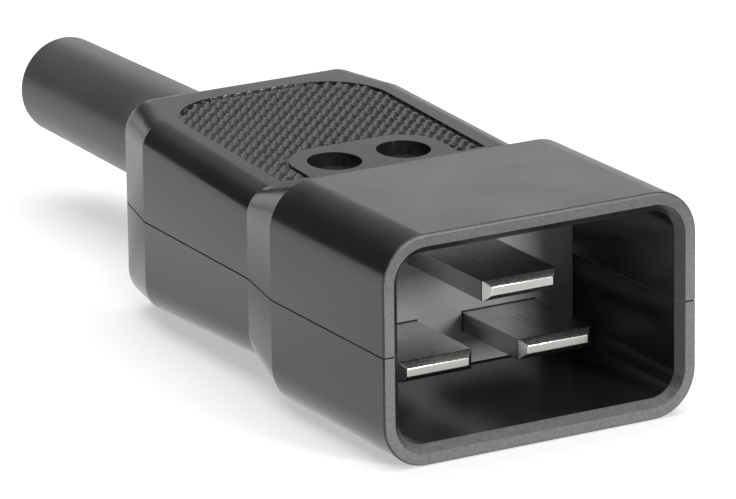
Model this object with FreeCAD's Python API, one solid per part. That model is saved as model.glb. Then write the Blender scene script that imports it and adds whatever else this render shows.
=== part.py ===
import FreeCAD, Part
import math
import os

# Rewirable in-line power plug: a moulded housing in two halves, a shroud round three flat blades at the front,
# screw terminals and a cord clamp inside, and a sleeve that guards the cord at the back.
# Millimetres. On the bench, y runs from the mouth of the shroud to the back, and z = 0 is the parting plane.

# Shroud, the rectangular front of the housing
shroud_width = 33.6
shroud_height = 22.1
shroud_corner = 4.5
shroud_wall = 1.9
rim_round = 0.25
rim_lead = 0.75
cavity_depth = 18.5

# Grip, the narrower back of the housing, joined to the shroud by a sloped collar
collar_length = 7.0
grip_length = 29.2
grip_side_step = 1.4
grip_side_draft = 0.4
grip_top_step = 2.4
grip_top_rise = 1.5
grip_bottom_step = 2.2
grip_bottom_rise = 1.33
grip_corner = 2.6
grip_bottom_corner = 3.4
grip_wall = 1.9
tail_length = 7.6
tail_step = 1.9
tail_round = 1.2
tail_corner = 3.3
rear_wall = 2.0
parting_gap_depth = 0.2
parting_gap_height = 0.12

# Field of pyramids on the grip's top
pyramid_pitch = 1.35
pyramid_groove_width = 1.05
pyramid_groove_depth = 0.5
pad_front_margin = 0.6
pad_rear_margin = 3.3
pad_side_margin = 1.2
pad_rear_corner = 6.5

# Blades
blade_width = 8.0
blade_thickness = 2.0
blade_tip_chamfer = 0.6
blade_tip_side_chamfer = 0.7
power_blade_spacing = 13.0
earth_blade_offset = 8.0
blade_group_drop = 0.8
power_blade_recess = 7.8
earth_blade_recess = 3.4
blade_ear = 0.6
blade_ear_length = 1.2
power_tail_width = 2.6
earth_tail_width = 2.2

# Carrier that holds the blades, locked on a web inside the housing
carrier_plate = 2.5
web_thickness = 1.8
carrier_flange = 2.5
carrier_flange_lip = 1.5
carrier_rim = 0.9
fit_gap = 0.1
blade_fit_gap = 0.05

# Terminals
terminal_pad_length = 8.2
terminal_pad_width = 7.8
terminal_plate_thickness = 1.0
terminal_plate_margin = 0.5
terminal_screw_diameter = 3.0
terminal_head_diameter = 5.6
terminal_head_height = 1.6
terminal_screw_reach = 0.8
slot_width = 0.8
slot_depth = 0.8

# Screws and nuts that close the housing
housing_screw_gap = 1.15
housing_screw_diameter = 3.0
housing_head_diameter = 5.0
housing_head_height = 1.9
housing_recess_depth = 3.4
screw_clearance = 0.15
boss_wall = 0.65
boss_floor = 1.0
land_margin = 1.7
nut_flats = 5.5
nut_thickness = 2.0
nut_wall = 0.51

# Cord guard and cord clamp
guard_reach = 38.9
guard_bore = 8.4
guard_root_wall = 1.35
guard_end_wall = 0.9
guard_end_round = 1.05
guard_end_flat = 0.1
guard_flange_lip = 0.95
guard_flange_thickness = 2.2
cord_axis_height = 0.8
bulkhead_thickness = 1.4
clamp_length = 4.2
clamp_thickness = 1.9
clamp_foot_height = -2.0
clamp_foot_thickness = 2.0
clamp_screw_margin = 0.9
clamp_foot_end = 2.6
clamp_screw_reach = 4.6
clamp_pillar_diameter = 5.0
cradle_rim = 1.2
cross_slot_length = 3.2

# Places that follow from the sizes above
half_width = shroud_width / 2
half_height = shroud_height / 2
shroud_length = cavity_depth + carrier_plate
grip_start = shroud_length + collar_length
housing_length = grip_start + grip_length
tail_start = housing_length - tail_length
grip_half_width = half_width - grip_side_step
tail_half_width = grip_half_width - grip_side_draft
grip_top = half_height - grip_top_step
grip_bottom = half_height - grip_bottom_step
power_blade_height = -blade_group_drop - earth_blade_offset / 2
earth_blade_height = -blade_group_drop + earth_blade_offset / 2
web_front = shroud_length
web_rear = web_front + web_thickness
carrier_rear = web_rear + carrier_flange
blade_shoulder = carrier_rear + blade_ear_length
nut_pocket_radius = (nut_flats + 2 * fit_gap) / math.sqrt(3)
nut_boss_radius = nut_pocket_radius + boss_wall
housing_screw_x = nut_pocket_radius + nut_wall
housing_screw_place = blade_shoulder + housing_screw_gap + nut_boss_radius
housing_recess_diameter = housing_head_diameter + 2 * screw_clearance
recess_boss_radius = housing_recess_diameter / 2 + boss_wall + screw_clearance
pillar_radius = housing_screw_diameter / 2 + screw_clearance + boss_wall
pad_start = housing_screw_place + recess_boss_radius + boss_wall
terminal_place = pad_start + terminal_pad_length / 2
rear_wall_front = housing_length - rear_wall
flange_front = rear_wall_front - guard_flange_thickness - 2 * fit_gap
bulkhead_front = flange_front - bulkhead_thickness
clamp_place = bulkhead_front - boss_wall - clamp_pillar_diameter / 2
cord_radius = guard_bore / 2
guard_root_diameter = guard_bore + 2 * guard_root_wall
guard_end_diameter = guard_bore + 2 * guard_end_wall
clamp_screw_x = cord_radius + clamp_thickness + clamp_screw_margin + housing_head_diameter / 2
guard_flange_radius = guard_root_diameter / 2 + guard_flange_lip
total_length = housing_length + guard_reach
far = 2 * total_length


def box(x0, x1, y0, y1, z0, z1):
    return Part.makeBox(x1 - x0, y1 - y0, z1 - z0, FreeCAD.Vector(x0, y0, z0))


def upright(radius, x, y, z0, z1):
    return Part.makeCylinder(radius, z1 - z0, FreeCAD.Vector(x, y, z0))


def along(radius, x, z, y0, y1):
    return Part.makeCylinder(radius, y1 - y0, FreeCAD.Vector(x, y0, z), FreeCAD.Vector(0, 1, 0))


def rounded_section(y, half, top, bottom, upper, lower=None):
    """Rounded rectangle across the plug at one distance behind the mouth, with upper and lower corners."""
    lower = lower or upper

    def corner(cx, cz, radius, start):
        points = [math.radians(start + turn) for turn in (0, 45, 90)]
        return [FreeCAD.Vector(cx + radius * math.cos(a), y, cz + radius * math.sin(a)) for a in points]

    arcs = [
        corner(half - upper, top - upper, upper, 0),
        corner(-half + upper, top - upper, upper, 90),
        corner(-half + lower, -bottom + lower, lower, 180),
        corner(half - lower, -bottom + lower, lower, 270),
    ]
    edges = []
    for this, following in zip(arcs, arcs[1:] + arcs[:1]):
        edges.append(Part.Arc(*this).toShape())
        edges.append(Part.LineSegment(this[2], following[0]).toShape())
    return Part.Wire(edges)


def grip_top_at(y):
    return grip_top + grip_top_rise * (y - grip_start) / grip_length


def grip_bottom_at(y):
    return grip_bottom + grip_bottom_rise * (y - grip_start) / grip_length


def housing_form(inset):
    """The housing's outer form, or the same form shrunk by an inset on every side wall."""
    places = [
        (0, half_width, half_height, half_height, shroud_corner, shroud_corner),
        (shroud_length, half_width, half_height, half_height, shroud_corner, shroud_corner),
        (grip_start, grip_half_width, grip_top, grip_bottom, grip_corner, grip_bottom_corner),
        (tail_start, tail_half_width, grip_top_at(tail_start), grip_bottom_at(tail_start),
         grip_corner, grip_bottom_corner),
        (housing_length, tail_half_width - tail_step, grip_top + grip_top_rise, grip_bottom + grip_bottom_rise,
         tail_corner, tail_corner),
    ]
    wires = [rounded_section(y, *(size - inset for size in sizes)) for y, *sizes in places]
    return Part.makeLoft(wires, True, True)


def edges_at(shape, y):
    return [e for e in shape.Edges if all(abs(v.Point.y - y) < 1e-6 for v in e.Vertexes)]


def mouth_opening():
    """The open space of the shroud, down to the web that carries the blades' carrier."""
    inner = (half_width - shroud_wall, half_height - shroud_wall, half_height - shroud_wall)
    corner = shroud_corner - shroud_wall
    opening = Part.Face(rounded_section(0, *inner, corner)).extrude(FreeCAD.Vector(0, web_front, 0))
    lip = [value + rim_lead for value in inner]
    outer_edge = rounded_section(0, *lip, corner + rim_lead)
    inner_edge = rounded_section(rim_lead, *inner, corner)
    return opening.fuse(Part.makeLoft([outer_edge, inner_edge], True, True))


def carrier_neck_size():
    """Half width, lowest and highest point of the carrier where it passes through the web."""
    half = (power_blade_spacing + blade_width) / 2 + carrier_rim
    reach = (earth_blade_offset + blade_thickness) / 2 + carrier_rim
    return half, -blade_group_drop - reach, -blade_group_drop + reach


def carrier_block(y0, y1, lip, gap):
    half, low, high = carrier_neck_size()
    return box(-half - lip + gap, half + lip - gap, y0, y1, low + gap, high - gap)


def contact_carrier():
    """Front plate that closes the shroud, a neck through the web, and ears that lock behind it."""
    w = half_width - shroud_wall - fit_gap
    h = half_height - shroud_wall - fit_gap
    plate_outline = rounded_section(cavity_depth, w, h, h, shroud_corner - shroud_wall)
    plate = Part.Face(plate_outline).extrude(FreeCAD.Vector(0, carrier_plate - fit_gap, 0))
    neck = carrier_block(cavity_depth, carrier_rear, 0, fit_gap)
    ears = carrier_block(web_rear + fit_gap, carrier_rear, carrier_flange_lip, fit_gap)
    carrier = plate.fuse([neck, ears])
    for x, z in blade_places():
        carrier = carrier.cut(blade_bar(x, z, 0, housing_length, blade_fit_gap))
    return carrier.removeSplitter()


def blade_places():
    side = power_blade_spacing / 2
    return [(-side, power_blade_height), (side, power_blade_height), (0, earth_blade_height)]


def blade_bar(x, z, y0, y1, gap):
    w = blade_width / 2 + gap
    h = blade_thickness / 2 + gap
    return box(x - w, x + w, y0, y1, z - h, z + h)


def tip_outline(half, cut, tip):
    """Outline of a blade seen from one side, as distances behind the mouth and across, cut back at its tip."""
    points = [(tip + cut, -half), (tip, cut - half), (tip, half - cut), (tip + cut, half)]
    points += [(blade_shoulder, half), (blade_shoulder, -half)]
    return points + points[:1]


def chamfered_blade(x, z, tip):
    w, h = blade_width / 2, blade_thickness / 2
    flank = [FreeCAD.Vector(x - w, y, z + across) for y, across in tip_outline(h, blade_tip_chamfer, tip)]
    flat = [FreeCAD.Vector(x + across, y, z - h) for y, across in tip_outline(w, blade_tip_side_chamfer, tip)]
    bar = Part.Face(Part.makePolygon(flank)).extrude(FreeCAD.Vector(blade_width, 0, 0))
    return bar.common(Part.Face(Part.makePolygon(flat)).extrude(FreeCAD.Vector(0, 0, blade_thickness)))


def terminal_x(side):
    """The power terminals stand close to the side walls, the earth terminal in the middle."""
    inner = tail_half_width - grip_wall
    return side * (inner - boss_wall - terminal_pad_width / 2)


def tail_span(side):
    if side == 0:
        return -earth_tail_width / 2, earth_tail_width / 2
    outer = (power_blade_spacing + blade_width) / 2
    return sorted((side * outer, side * (outer - power_tail_width)))


def blade_rear(side, gap):
    """The blade behind the carrier: locating ears, a narrow tail past the housing screws, the terminal pad."""
    x = side * power_blade_spacing / 2
    z = earth_blade_height if side == 0 else power_blade_height
    low, high = z - blade_thickness / 2 - gap, z + blade_thickness / 2 + gap
    ear = blade_width / 2 + blade_ear + gap
    pad = terminal_pad_width / 2 + gap
    pad_x = terminal_x(side)
    tail_low, tail_high = tail_span(side)
    return [
        box(x - ear, x + ear, carrier_rear, blade_shoulder + gap, low, high),
        box(tail_low - gap, tail_high + gap, blade_shoulder, pad_start + boss_wall, low, high),
        box(pad_x - pad, pad_x + pad, pad_start - gap, pad_start + terminal_pad_length + gap, low, high),
    ]


def blade_passages():
    """Room that the housing leaves round the blades behind the carrier."""
    return [piece for side in (-1, 0, 1) for piece in blade_rear(side, fit_gap)]


def blade(side):
    x = side * power_blade_spacing / 2
    z = earth_blade_height if side == 0 else power_blade_height
    tip = earth_blade_recess if side == 0 else power_blade_recess
    body = chamfered_blade(x, z, tip).fuse(blade_rear(side, 0))
    bore = terminal_screw_diameter / 2 + blade_fit_gap
    return body.cut(upright(bore, terminal_x(side), terminal_place, -half_height, half_height)).removeSplitter()


def terminal_seat(side):
    z = earth_blade_height if side == 0 else power_blade_height
    return z + blade_thickness / 2


def wire_plate(side):
    """Square plate with rounded upper edges that presses the wire on the terminal pad."""
    x, z = terminal_x(side), terminal_seat(side)
    half = terminal_pad_width / 2 - terminal_plate_margin
    top = z + terminal_plate_thickness
    plate = box(x - half, x + half, terminal_place - half, terminal_place + half, z, top)
    upper = [e for e in plate.Edges if all(v.Point.z > (z + top) / 2 for v in e.Vertexes)]
    plate = plate.makeFillet(terminal_plate_thickness / 2, upper)
    bore = terminal_screw_diameter / 2 + screw_clearance
    return plate.cut(upright(bore, x, terminal_place, z, top))


def screw(x, y, seat, head_diameter, head_height, shank_diameter, shank_end, slots):
    """A round-edged head on a plain shank, with one driving slot or a cross of two."""
    head = upright(head_diameter / 2, x, y, seat, seat + head_height)
    top = [e for e in head.Edges if e.BoundBox.ZMin > seat + head_height / 2 and len(e.Vertexes) == 1]
    head = head.makeFillet(head_height / 3, top)
    body = head.fuse(upright(shank_diameter / 2, x, y, shank_end, seat))
    for length, width in slots:
        body = body.cut(box(x - length / 2, x + length / 2, y - width / 2, y + width / 2,
                            seat + head_height - slot_depth, seat + head_height))
    return body.removeSplitter()


def terminal_screw(side):
    seat = terminal_seat(side) + terminal_plate_thickness
    end = terminal_seat(side) - blade_thickness - terminal_screw_reach
    slots = [(terminal_head_diameter, slot_width)]
    return screw(terminal_x(side), terminal_place, seat, terminal_head_diameter, terminal_head_height,
                 terminal_screw_diameter, end, slots)


def cross_slots():
    return [(cross_slot_length, slot_width), (slot_width, cross_slot_length)]


def recess_seat():
    return grip_top_at(housing_screw_place) - housing_recess_depth


def nut_seat():
    return -grip_bottom_at(housing_screw_place) + nut_thickness + fit_gap


def housing_screw(side):
    end = nut_seat() - nut_thickness
    return screw(side * housing_screw_x, housing_screw_place, recess_seat(), housing_head_diameter,
                 housing_head_height, housing_screw_diameter, end, cross_slots())


def hexagon(x, y, flats, z0, z1):
    radius = flats / math.sqrt(3)
    angles = [math.radians(a) for a in range(0, 361, 60)]
    corners = [FreeCAD.Vector(x + radius * math.cos(a), y + radius * math.sin(a), z0) for a in angles]
    return Part.Face(Part.makePolygon(corners)).extrude(FreeCAD.Vector(0, 0, z1 - z0))


def housing_nut(side):
    x = side * housing_screw_x
    top = nut_seat()
    nut = hexagon(x, housing_screw_place, nut_flats, top - nut_thickness, top)
    bore = housing_screw_diameter / 2 + blade_fit_gap
    return nut.cut(upright(bore, x, housing_screw_place, top - nut_thickness, top))


def cord_channel():
    return along(cord_radius, 0, cord_axis_height, 0, total_length)


def cord_clamp():
    """Saddle over the cord: an arch with a flat foot on each side, drilled for its two screws."""
    y0, y1 = clamp_place - clamp_length / 2, clamp_place + clamp_length / 2
    arch = along(cord_radius + clamp_thickness, 0, cord_axis_height, y0, y1)
    reach = clamp_screw_x + clamp_foot_end
    foot_top = clamp_foot_height + clamp_foot_thickness
    foot = box(-reach, reach, y0, y1, clamp_foot_height, foot_top)
    below = box(-far, far, -far, far, -far, clamp_foot_height)
    saddle = arch.fuse(foot).cut(cord_channel()).cut(below)
    saddle = saddle.cut(box(-cord_radius, cord_radius, y0, y1, clamp_foot_height, cord_axis_height))
    for side in (-1, 1):
        hole = upright(housing_screw_diameter / 2 + screw_clearance, side * clamp_screw_x, clamp_place,
                       clamp_foot_height, foot_top)
        saddle = saddle.cut(hole)
    return saddle.removeSplitter()


def cord_clamp_screw(side):
    seat = clamp_foot_height + clamp_foot_thickness
    return screw(side * clamp_screw_x, clamp_place, seat, housing_head_diameter, housing_head_height,
                 housing_screw_diameter, clamp_foot_height - clamp_screw_reach, cross_slots())


def cord_guard():
    """Slightly tapered sleeve with a rounded end, held by a flange inside the rear wall."""
    flange_y = flange_front + fit_gap
    flange = along(guard_flange_radius, 0, cord_axis_height, flange_y, flange_y + guard_flange_thickness)
    root = guard_root_diameter / 2
    neck = along(root, 0, cord_axis_height, flange_y, housing_length)
    axis = FreeCAD.Vector(0, 1, 0)
    sleeve = Part.makeCone(root, guard_end_diameter / 2, guard_reach,
                           FreeCAD.Vector(0, housing_length, cord_axis_height), axis)
    end_round = min(guard_end_round, guard_end_wall - guard_end_flat)
    sleeve = sleeve.makeFillet(end_round, [e for e in edges_at(sleeve, total_length) if e.Closed])
    return flange.fuse([neck, sleeve]).cut(cord_channel()).removeSplitter()


def cord_fitting_room():
    """Room that the housing leaves round the sleeve's flange and, above the clamp's seat, round the clamp."""
    flange = along(guard_flange_radius + fit_gap, 0, cord_axis_height, flange_front, rear_wall_front)
    y0, y1 = clamp_place - clamp_length / 2 - fit_gap, clamp_place + clamp_length / 2 + fit_gap
    reach = clamp_screw_x + clamp_foot_end + fit_gap
    foot_top = clamp_foot_height + clamp_foot_thickness
    feet = box(-reach, reach, y0, y1, clamp_foot_height, foot_top + fit_gap)
    arch = along(cord_radius + clamp_thickness + fit_gap, 0, cord_axis_height, y0, y1)
    return [flange, feet, arch.common(box(-far, far, y0, y1, clamp_foot_height, far))]


def bosses():
    """Columns for the housing screws: wide round the recess and the nut, narrow between the blades' tails."""
    pieces = []
    for side in (-1, 1):
        x, y = side * housing_screw_x, housing_screw_place
        pieces.append(upright(recess_boss_radius, x, y, recess_seat() - boss_floor, half_height))
        pieces.append(upright(pillar_radius, x, y, -half_height, half_height))
        pieces.append(upright(nut_boss_radius, x, y, -half_height, nut_seat() + boss_floor))
    return pieces


def boss_holes():
    holes = []
    for side in (-1, 1):
        x, y = side * housing_screw_x, housing_screw_place
        holes.append(upright(housing_recess_diameter / 2, x, y, recess_seat(), half_height))
        holes.append(upright(housing_screw_diameter / 2 + screw_clearance, x, y, -half_height, half_height))
        holes.append(hexagon(x, y, nut_flats + 2 * fit_gap, -half_height, nut_seat()))
    return holes


def clamp_supports():
    """Pillars under the clamp's feet and a cradle under the cord."""
    y0, y1 = clamp_place - clamp_length / 2, clamp_place + clamp_length / 2
    cradle = box(-cord_radius - cradle_rim, cord_radius + cradle_rim, y0, y1, -half_height, clamp_foot_height)
    pieces = [cradle.cut(cord_channel())]
    for side in (-1, 1):
        x = side * clamp_screw_x
        pillar = upright(clamp_pillar_diameter / 2, x, clamp_place, -half_height, clamp_foot_height)
        drilled = upright(housing_screw_diameter / 2 + blade_fit_gap, x, clamp_place,
                          clamp_foot_height - clamp_screw_reach - fit_gap, clamp_foot_height)
        pieces.append(pillar.cut(drilled))
    return pieces


def bulkhead():
    wall = box(-half_width, half_width, bulkhead_front, flange_front, -half_height, half_height)
    return wall.cut(cord_channel())


def shell_half(z0, z1, inner_pieces, holes):
    """One half of the housing: its outer form, hollowed out, with the pieces moulded inside it."""
    half_space = box(-far, far, -far, far, z0, z1)
    outer = housing_form(0)
    outer = outer.makeFillet(rim_round, edges_at(outer, 0))
    outer = outer.makeFillet(tail_round, edges_at(outer, housing_length))
    hollow = box(-far, far, web_rear, rear_wall_front, -far, far)
    wiring_space = housing_form(grip_wall).common(hollow)
    guard_hole = along(guard_root_diameter / 2 + fit_gap, 0, cord_axis_height, rear_wall_front, housing_length)
    moulded = [piece.common(housing_form(grip_wall / 2)) for piece in inner_pieces]
    window = carrier_block(web_front, web_rear, 0, 0)
    shell = outer.common(half_space)
    shell = shell.cut([mouth_opening(), wiring_space, guard_hole, window])
    shell = shell.fuse([piece.common(half_space) for piece in moulded])
    return shell.cut(holes + blade_passages() + cord_fitting_room()).removeSplitter()


def pad_outline():
    """The field of pyramids from above: rounded rear corners, and a smooth bay round the screw recesses."""
    half = tail_half_width - grip_corner - pad_side_margin
    y0, y1 = grip_start + pad_front_margin, housing_length - pad_rear_margin
    field = box(-half, half, y0, y1, -half_height, half_height)
    rear = [e for e in field.Edges if e.BoundBox.ZLength > half_height and e.BoundBox.YMin > (y0 + y1) / 2]
    field = field.makeFillet(pad_rear_corner, rear)
    land = housing_recess_diameter / 2 + land_margin
    reach = housing_screw_x + land
    x, y = housing_screw_x, housing_screw_place
    bay = [box(-reach, reach, grip_start, y, -half_height, half_height)]
    bay.append(box(-x, x, grip_start, y + land, -half_height, half_height))
    for side in (-1, 1):
        bay.append(upright(land, side * x, y, -half_height, half_height))
    return field.cut(bay)


def groove(length):
    """V-groove along x, centred on the origin, with its bottom below z = 0 and its mouth just above."""
    half = (pyramid_groove_width + pyramid_pitch) / 4
    depth = pyramid_groove_depth
    mouth = depth * (2 * half / pyramid_groove_width - 1)
    points = [(-half, mouth), (half, mouth), (0, -depth), (-half, mouth)]
    outline = Part.makePolygon([FreeCAD.Vector(-length / 2, y, z) for y, z in points])
    return Part.Face(outline).extrude(FreeCAD.Vector(length, 0, 0))


def groove_rows(turn):
    """A row of parallel grooves that covers the grip's top, across it or, turned, along it."""
    count = int(2 * housing_length / pyramid_pitch)
    rows = []
    for index in range(-count // 2, count // 2 + 1):
        cut = groove(far)
        cut.translate(FreeCAD.Vector(0, index * pyramid_pitch, 0))
        rows.append(cut)
    grid = Part.makeCompound(rows)
    grid.rotate(FreeCAD.Vector(0, 0, 0), FreeCAD.Vector(0, 0, 1), turn)
    slope = math.degrees(math.atan2(grip_top_rise, grip_length))
    grid.rotate(FreeCAD.Vector(0, 0, 0), FreeCAD.Vector(1, 0, 0), slope)
    middle = (grip_start + housing_length) / 2
    grid.translate(FreeCAD.Vector(0, middle, grip_top_at(middle)))
    return grid


def upper_shell():
    shell = shell_half(0, far, bosses() + [bulkhead()], boss_holes())
    outline = pad_outline()
    for turn in (0, 90):
        shell = shell.cut(groove_rows(turn).common(outline))
    return shell


def lower_shell():
    pieces = bosses() + [bulkhead()] + clamp_supports()
    shell = shell_half(-far, 0, pieces, boss_holes())
    skin = box(-far, far, parting_gap_depth, housing_length - parting_gap_depth, -far, far)
    inside = housing_form(parting_gap_depth).common(skin)
    band = box(-far, far, -far, far, -parting_gap_height, 0)
    return shell.cut(band.common(housing_form(0)).cut(inside))


def build():
    sides = {"line": -1, "neutral": 1, "earth": 0}
    nodes = {"upper_shell": upper_shell(), "lower_shell": lower_shell(), "contact_carrier": contact_carrier()}
    for name, side in sides.items():
        nodes[f"{name}_blade"] = blade(side)
        nodes[f"{name}_wire_plate"] = wire_plate(side)
        nodes[f"{name}_terminal_screw"] = terminal_screw(side)
    for name, side in (("left", -1), ("right", 1)):
        nodes[f"housing_screw_{name}"] = housing_screw(side)
        nodes[f"housing_nut_{name}"] = housing_nut(side)
        nodes[f"cord_clamp_screw_{name}"] = cord_clamp_screw(side)
    nodes["cord_clamp"] = cord_clamp()
    nodes["cord_guard"] = cord_guard()
    return nodes


# The part stands on the shroud's underside, with its length centred on the origin
os.makedirs("parts", exist_ok=True)
for node, shape in build().items():
    shape.translate(FreeCAD.Vector(0, -total_length / 2, half_height))
    shape.exportStep(f"parts/{node}.step")
    solids = len(shape.Solids)
    print(f"{node}: {solids} solid, {shape.Volume:.1f} mm3, valid {shape.isValid()}")
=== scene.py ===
import math

import bmesh
import bpy
from mathutils import Matrix, Vector


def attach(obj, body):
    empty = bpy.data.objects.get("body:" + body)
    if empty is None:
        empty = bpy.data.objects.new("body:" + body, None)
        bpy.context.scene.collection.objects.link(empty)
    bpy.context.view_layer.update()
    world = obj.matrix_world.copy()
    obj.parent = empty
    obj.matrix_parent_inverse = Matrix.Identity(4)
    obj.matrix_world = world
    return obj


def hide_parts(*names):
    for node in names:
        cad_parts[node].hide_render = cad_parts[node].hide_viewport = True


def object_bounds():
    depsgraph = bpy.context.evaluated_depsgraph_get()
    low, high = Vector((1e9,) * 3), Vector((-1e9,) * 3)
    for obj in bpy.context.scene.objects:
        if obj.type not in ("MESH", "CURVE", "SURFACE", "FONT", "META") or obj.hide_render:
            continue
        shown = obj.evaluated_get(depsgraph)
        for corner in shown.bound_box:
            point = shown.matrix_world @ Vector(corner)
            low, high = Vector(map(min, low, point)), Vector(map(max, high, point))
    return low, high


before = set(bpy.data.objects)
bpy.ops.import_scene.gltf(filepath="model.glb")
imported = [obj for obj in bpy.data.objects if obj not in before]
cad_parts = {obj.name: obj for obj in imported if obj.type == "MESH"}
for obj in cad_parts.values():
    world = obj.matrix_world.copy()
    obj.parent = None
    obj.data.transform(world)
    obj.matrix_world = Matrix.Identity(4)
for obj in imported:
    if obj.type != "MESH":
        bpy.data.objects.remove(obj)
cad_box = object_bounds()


# Lower housing half: the base of the plug, moulded in a hard black plastic with a fine satin grain.
# The carrier, the blades, the sleeve's flange and the clamp all lie in it before the lid goes on.
def new_finish(name):
    finish = bpy.data.materials.new(name)
    finish.use_nodes = True
    nodes = finish.node_tree.nodes
    return finish, nodes, finish.node_tree.links, nodes["Principled BSDF"]


def grey(level):
    return level, level, level, 1


def noise(nodes, links, vector, scale, detail):
    texture = nodes.new("ShaderNodeTexNoise")
    texture.inputs["Scale"].default_value = scale
    texture.inputs["Detail"].default_value = detail
    links.new(vector, texture.inputs["Vector"])
    return texture.outputs["Fac"]


def spread(nodes, links, value, low, high, start=0.3, end=0.7):
    """Stretches a noise between two values."""
    span = nodes.new("ShaderNodeMapRange")
    span.inputs["From Min"].default_value = start
    span.inputs["From Max"].default_value = end
    span.inputs["To Min"].default_value = low
    span.inputs["To Max"].default_value = high
    links.new(value, span.inputs["Value"])
    return span.outputs["Result"]


def blend(nodes, links, kind, factor, first, second):
    """Goes from the first value to the second by a factor; a value is a socket or a constant."""
    mix = nodes.new("ShaderNodeMix")
    mix.data_type = kind
    shown = [socket for socket in mix.inputs if socket.enabled]
    ends = [socket for socket in shown if socket.name in ("A", "B")]
    for socket, value in zip(ends, (first, second)):
        if isinstance(value, bpy.types.NodeSocket):
            links.new(value, socket)
        else:
            socket.default_value = value
    links.new(factor, next(socket for socket in shown if socket.name == "Factor"))
    return next(socket for socket in mix.outputs if socket.enabled)


def wear_and_light_factor(nodes, links, vector, scale):
    """How far the surface is made paler, by wear and by painted light: the marked faces, broken up by
    a fine noise.
    """
    wear_and_painted_light = nodes.new("ShaderNodeAttribute")
    wear_and_painted_light.attribute_name = "wear_and_painted_light"
    fine = noise(nodes, links, vector, scale, detail=3.0)
    patchy = spread(nodes, links, fine, low=0.65, high=1.0, start=0.35, end=0.6)
    product = nodes.new("ShaderNodeMath")
    product.operation = "MULTIPLY"
    links.new(wear_and_painted_light.outputs["Fac"], product.inputs[0])
    links.new(patchy, product.inputs[1])
    return product.outputs["Value"]


def relief(nodes, links, shader, height, strength, distance):
    """Lets a noise stand out of the surface a little."""
    bump = nodes.new("ShaderNodeBump")
    bump.inputs["Strength"].default_value = strength
    bump.inputs["Distance"].default_value = distance
    links.new(height, bump.inputs["Height"])
    links.new(bump.outputs["Normal"], shader.inputs["Normal"])


def plastic(name, dark, light, wear_and_light_shade, gloss, ior, grain, depth):
    """A moulded plastic: cloudy shade and gloss, a fine grain, and rubbed edges and faces with painted
    light, paler and duller.
    """
    scuffed_roughness = 0.6
    finish, nodes, links, shader = new_finish(name)
    vector = nodes.new("ShaderNodeTexCoord").outputs["Object"]
    cloud = noise(nodes, links, vector, scale=140.0, detail=5.0)
    wear_and_light = wear_and_light_factor(nodes, links, vector, scale=2600.0)
    shade = spread(nodes, links, cloud, low=0.0, high=1.0)
    tone = blend(nodes, links, "RGBA", shade, grey(dark), grey(light))
    colour = blend(nodes, links, "RGBA", wear_and_light, tone, grey(wear_and_light_shade))
    sheen = spread(nodes, links, cloud, *gloss)
    roughness = blend(nodes, links, "FLOAT", wear_and_light, sheen, scuffed_roughness)
    links.new(colour, shader.inputs["Base Color"])
    links.new(roughness, shader.inputs["Roughness"])
    shader.inputs["IOR"].default_value = ior
    fine = noise(nodes, links, vector, grain, detail=2.0)
    relief(nodes, links, shader, fine, depth, distance=0.00003)
    return finish


def softened(name, radius, finish, mark_wear_and_light=None):
    """A copy of a piece whose outer edges are broken by a small radius; those strips count as worn."""
    same_point = 1e-6
    flat, sharp, crease, border_crease = (math.radians(angle) for angle in (0.2, 25, 30, 6))
    shape = bmesh.new()
    shape.from_mesh(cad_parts[name].data)
    # The mesh comes apart where two faces of the solid meet, so its open edges are their borders
    for edge in shape.edges:
        edge.smooth = not edge.is_boundary
    bmesh.ops.remove_doubles(shape, verts=shape.verts, dist=same_point)
    bmesh.ops.dissolve_limit(shape, angle_limit=flat, verts=shape.verts, edges=shape.edges)
    wear_and_painted_light = shape.faces.layers.float.new("wear_and_painted_light")
    if mark_wear_and_light:
        mark_wear_and_light(shape, wear_and_painted_light)
    outer = [edge for edge in shape.edges if edge.is_convex and edge.calc_face_angle() > sharp]
    strips = bmesh.ops.bevel(shape, geom=outer, offset=radius, offset_type="OFFSET", segments=2,
                             profile=0.5, affect="EDGES", material=-1)["faces"]
    for face in strips:
        face[wear_and_painted_light] = 1.0
    for face in shape.faces:
        face.smooth = True
        face.material_index = 0
    # Shallow creases stay crisp on the borders only, so that the facets of round faces don't show
    rounded = {edge for face in strips for edge in face.edges}
    for edge in shape.edges:
        limit = crease if edge.smooth else border_crease
        edge.smooth = edge in rounded or edge.calc_face_angle(0.0) < limit
    mesh = bpy.data.meshes.new(name + "_softened")
    shape.to_mesh(mesh)
    shape.free()
    mesh.materials.append(finish)
    piece = bpy.data.objects.new(name + "_softened", mesh)
    bpy.context.scene.collection.objects.link(piece)
    even = piece.modifiers.new("even_shading", "WEIGHTED_NORMAL")
    even.keep_sharp = True
    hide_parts(name)
    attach(piece, "root")


mouth = cad_box[0].y
housing_top = cad_box[1].z
rim_back = mouth + 0.00005
lead_back = mouth + 0.00085
grip_front = mouth + 0.02805
grip_low = housing_top - 0.0026
tip_area = 2e-7
straight_ahead, half_ahead, straight_up = -0.9, -0.5, 0.99


def on_rim(face):
    """The flat front of the shroud's rim."""
    return face.calc_center_median().y < rim_back and face.normal.y < straight_ahead


def on_lower_lead(face):
    """The part of the lead-in behind the rim that looks upwards."""
    near = face.calc_center_median().y < lead_back
    return near and face.normal.y < half_ahead and face.normal.z > 0.0


def on_tip(face):
    """The small flat tip of one of the grip's pyramids."""
    middle = face.calc_center_median()
    on_grip = middle.y > grip_front and middle.z > grip_low
    return on_grip and face.normal.z > straight_up and face.calc_area() < tip_area


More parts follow.
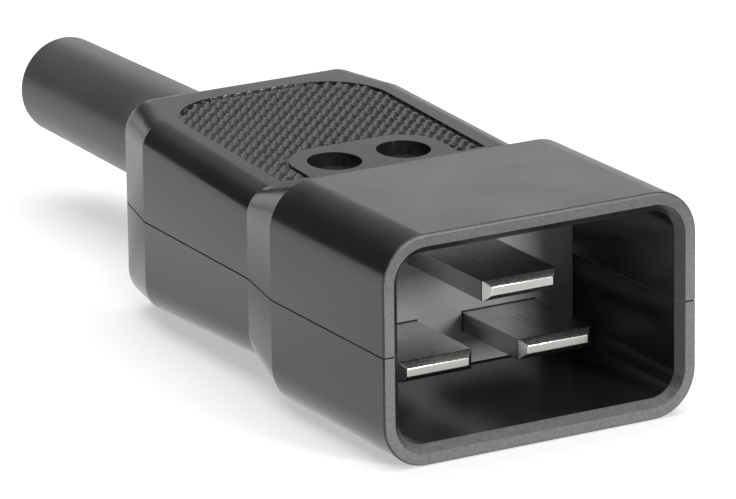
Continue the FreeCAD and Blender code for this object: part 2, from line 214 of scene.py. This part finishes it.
def housing_wear_and_painted_light(shape, wear_and_painted_light):
    """The rim is rubbed paler, and a painted shade keeps it less pale towards its top. The lower
    lead-in is painted paler the more it faces up, as painted light from above. The pyramids' tips are
    rubbed.
    """
    fade_start, fade_height = housing_top - 0.0066, 0.005
    fade, fade_steps = 0.45, 5
    lead_gain, lead_most = 1.4, 0.9
    tip_wear = 0.4
    for step in range(fade_steps):
        height = fade_start + (step + 0.5) * fade_height / fade_steps
        front = [face for face in shape.faces if on_rim(face)]
        around = {part for face in front for part in (*face.verts, *face.edges)}
        bmesh.ops.bisect_plane(shape, geom=[*front, *around],
                               plane_co=(0, 0, height), plane_no=(0, 0, 1))
    # Painted light: the rim's paleness fades towards its top as painted shade, and the lower lead-in
    # grows paler as it faces up, as painted light from above
    for face in shape.faces:
        if on_rim(face):
            rise = (face.calc_center_median().z - fade_start) / fade_height
            face[wear_and_painted_light] = 1.0 - fade * min(max(rise, 0.0), 1.0)
        elif on_lower_lead(face):
            face[wear_and_painted_light] = min(lead_gain * face.normal.z, lead_most)
        elif on_tip(face):
            face[wear_and_painted_light] = tip_wear


# The pale rubbed shade 0.14 is also the painted light on the rim's lower part and on the
# upward-looking lower lead-in
housing_black = plastic("housing_black", dark=0.016, light=0.022, wear_and_light_shade=0.14, gloss=(0.18, 0.25),
                        ior=1.585, grain=3500.0, depth=0.10)
housing_edge = 0.00003
softened("lower_shell", housing_edge, housing_black, housing_wear_and_painted_light)

# Captive nuts: hexagon nuts of zinc plated steel, pressed into pockets in the underside of the base.
# Their edges are tumbled round before they are plated.
zinc, nodes, links, shader = new_finish("zinc_plate")
vector = nodes.new("ShaderNodeTexCoord").outputs["Object"]
cloud = noise(nodes, links, vector, scale=700.0, detail=4.0)
wear_and_light = wear_and_light_factor(nodes, links, vector, scale=2500.0)
dark, light, bright = (0.46, 0.47, 0.50, 1), (0.58, 0.59, 0.60, 1), grey(0.70)
tone = blend(nodes, links, "RGBA", cloud, dark, light)
links.new(blend(nodes, links, "RGBA", wear_and_light, tone, bright), shader.inputs["Base Color"])
links.new(spread(nodes, links, cloud, low=0.24, high=0.46), shader.inputs["Roughness"])
shader.inputs["Metallic"].default_value = 1.0
nut_edge = 0.00015
for side in ("left", "right"):
    softened("housing_nut_" + side, nut_edge, zinc)

# Contact carrier: the insulating block at the back of the shroud, moulded in a grey plastic that
# stands lighter than the housing. Its ears lock it behind the web, and the blades pass through it.
carrier_grey = plastic("carrier_grey", dark=0.19, light=0.23, wear_and_light_shade=0.28, gloss=(0.42, 0.52),
                       ior=1.55, grain=3000.0, depth=0.2)
carrier_edge = 0.00012
softened("contact_carrier", carrier_edge, carrier_grey)

# Blades: three flat contacts stamped from brass strip and nickel plated, with coined tips. They are
# pushed through the carrier from behind and end in screw terminals.
nickel, nodes, links, shader = new_finish("blade_nickel")
vector = nodes.new("ShaderNodeTexCoord").outputs["Object"]
stretch = nodes.new("ShaderNodeMapping")
stretch.inputs["Scale"].default_value = (7000.0, 160.0, 7000.0)
links.new(vector, stretch.inputs["Vector"])
drawn = noise(nodes, links, stretch.outputs["Vector"], scale=1.0, detail=3.0)
cloud = noise(nodes, links, vector, scale=260.0, detail=4.0)
tarnish = spread(nodes, links, cloud, low=0.0, high=1.0)
wear_and_light = wear_and_light_factor(nodes, links, vector, scale=1800.0)
dark, light, bright = (0.43, 0.42, 0.405, 1), (0.50, 0.49, 0.475, 1), (0.60, 0.595, 0.58, 1)
tone = blend(nodes, links, "RGBA", tarnish, dark, light)
links.new(blend(nodes, links, "RGBA", wear_and_light, tone, bright), shader.inputs["Base Color"])
links.new(spread(nodes, links, drawn, low=0.23, high=0.28), shader.inputs["Roughness"])
shader.inputs["Metallic"].default_value = 1.0
relief(nodes, links, shader, drawn, strength=0.02, distance=0.00001)
blade_edge = 0.00008
for name in ("line", "neutral", "earth"):
    softened(name + "_blade", blade_edge, nickel)

# Terminals: a slotted screw in each blade's pad presses a square plate on the wire. Both are steel,
# headed, rolled and stamped, then zinc plated.
screw_edge = 0.00005
for name in ("line", "neutral", "earth"):
    softened(name + "_wire_plate", screw_edge, zinc)
    softened(name + "_terminal_screw", screw_edge, zinc)

# Cord guard: a soft black rubber sleeve round the cord, moulded in one piece with the flange that
# the two housing halves hold.
guard_rubber = plastic("guard_rubber", dark=0.078, light=0.098, wear_and_light_shade=0.11, gloss=(0.30, 0.38),
                       ior=1.52, grain=2600.0, depth=0.3)
guard_edge = 0.00008
softened("cord_guard", guard_edge, guard_rubber)

# Cord clamp: a saddle moulded in the carrier's plastic. Two zinc plated screws draw it down on the
# cord's jacket.
clamp_edge = 0.0001
softened("cord_clamp", clamp_edge, carrier_grey)
for side in ("left", "right"):
    softened("cord_clamp_screw_" + side, screw_edge, zinc)

# Upper housing half: the lid, moulded in the same black plastic, with a field of small pyramids for
# the fingers. Two cross recessed screws go down through it into the captive nuts.
softened("upper_shell", housing_edge, housing_black, housing_wear_and_painted_light)
for side in ("left", "right"):
    softened("housing_screw_" + side, screw_edge, zinc)

# Floor: a wide sheet of white paper under the plug. It catches the shadow, and looks white to the
# camera and in the gloss of the plastic and the metal.
sheet_reach, sheet_drop, camera_lift = 6.0, 0.00003, 0.45
sheet = bpy.data.meshes.new("floor")
shape = bmesh.new()
bmesh.ops.create_grid(shape, x_segments=1, y_segments=1, size=sheet_reach)
bmesh.ops.translate(shape, vec=(0, 0, -sheet_drop), verts=shape.verts)
shape.to_mesh(sheet)
shape.free()
floor = bpy.data.objects.new("floor", sheet)
bpy.context.scene.collection.objects.link(floor)
paper, nodes, links, shader = new_finish("floor_paper")
shader.inputs["Base Color"].default_value = grey(0.88)
shader.inputs["Roughness"].default_value = 0.9
shader.inputs["Specular IOR Level"].default_value = 0.0
shader.inputs["Emission Color"].default_value = grey(1)
rays = nodes.new("ShaderNodeLightPath")
lift = nodes.new("ShaderNodeMath")
lift.operation = "MULTIPLY"
lift.inputs[1].default_value = camera_lift
links.new(rays.outputs["Is Camera Ray"], lift.inputs[0])
links.new(lift.outputs["Value"], shader.inputs["Emission Strength"])
mirrored = nodes.new("ShaderNodeMath")
mirrored.operation = "MAXIMUM"
links.new(rays.outputs["Is Glossy Ray"], mirrored.inputs[0])
links.new(rays.outputs["Is Transmission Ray"], mirrored.inputs[1])
white = nodes.new("ShaderNodeEmission")
choice = nodes.new("ShaderNodeMixShader")
links.new(mirrored.outputs["Value"], choice.inputs["Fac"])
links.new(shader.outputs["BSDF"], choice.inputs[1])
links.new(white.outputs["Emission"], choice.inputs[2])
links.new(choice.outputs["Shader"], nodes["Material Output"].inputs["Surface"])
sheet.materials.append(paper)


# Lights: one wide soft box overhead that reaches far back, and three white boards behind: one on the
# right that the top faces mirror, a low one for the collar and the tail, and a dim one for the edges.
# A lamp in front on the right reaches into the shroud, and the room is dim.
def soft_box(name, place, aim, width, height, radiance):
    lamp = bpy.data.lights.new(name, "AREA")
    lamp.shape = "RECTANGLE"
    lamp.size, lamp.size_y = width, height
    lamp.energy = radiance * math.pi * width * height
    box = bpy.data.objects.new(name, lamp)
    box.location = place
    box.rotation_euler = (Vector(aim) - Vector(place)).to_track_quat("-Z", "Y").to_euler()
    bpy.context.scene.collection.objects.link(box)


plug_middle = (0, 0, 0.011)
soft_box("overhead", place=(0.0, 0.23, 1.1), aim=(0, 0.23, 0),
         width=1.36, height=2.1, radiance=1.6)
soft_box("back_board", place=(0.62, 0.78, 0.25), aim=(0, 0, 0),
         width=0.8, height=0.35, radiance=0.92)
soft_box("low_board", place=(-0.035, 1.0, 0.145), aim=plug_middle,
         width=0.36, height=0.21, radiance=1.0)
soft_box("dim_board", place=(0.26, 0.96, 0.46), aim=plug_middle,
         width=0.36, height=0.36, radiance=0.25)
soft_box("front_lamp", place=(0.26, -0.82, 0.18), aim=(0, -0.03, 0.011),
         width=0.2, height=0.2, radiance=48.0)
world = bpy.data.worlds.new("room")
world.use_nodes = True
world.node_tree.nodes["Background"].inputs["Color"].default_value = grey(0.07)
bpy.context.scene.world = world

# Camera: in front on the left and a little above, a long lens. It looks past the middle of the
# mouth, from the distance and with the shifts that place the plug in the picture.
azimuth, elevation, roll = (math.radians(angle) for angle in (-29.71, 17.11, -0.74))
distance, shift_right, shift_up = 0.5641, -0.01597, 0.00726
focal_length, sensor_width = 300.69, 36.0
across = Vector((math.cos(azimuth), math.sin(azimuth), 0))
level_back = Vector((math.sin(azimuth), -math.cos(azimuth), 0))
back = level_back * math.cos(elevation) + Vector((0, 0, math.sin(elevation)))
up = back.cross(across)
right = across * math.cos(roll) + up * math.sin(roll)
top = up * math.cos(roll) - across * math.sin(roll)
target = Vector((0, mouth, housing_top / 2))
lens = bpy.data.cameras.new("camera")
lens.sensor_fit = "HORIZONTAL"
lens.sensor_width = sensor_width
lens.lens = focal_length
lens.clip_start = 0.01
camera = bpy.data.objects.new("camera", lens)
camera.matrix_world = Matrix((right, top, back)).transposed().to_4x4()
camera.location = target + back * distance + right * shift_right + top * shift_up
bpy.context.scene.collection.objects.link(camera)
bpy.context.scene.camera = camera
bpy.context.scene.view_settings.view_transform = "Standard"
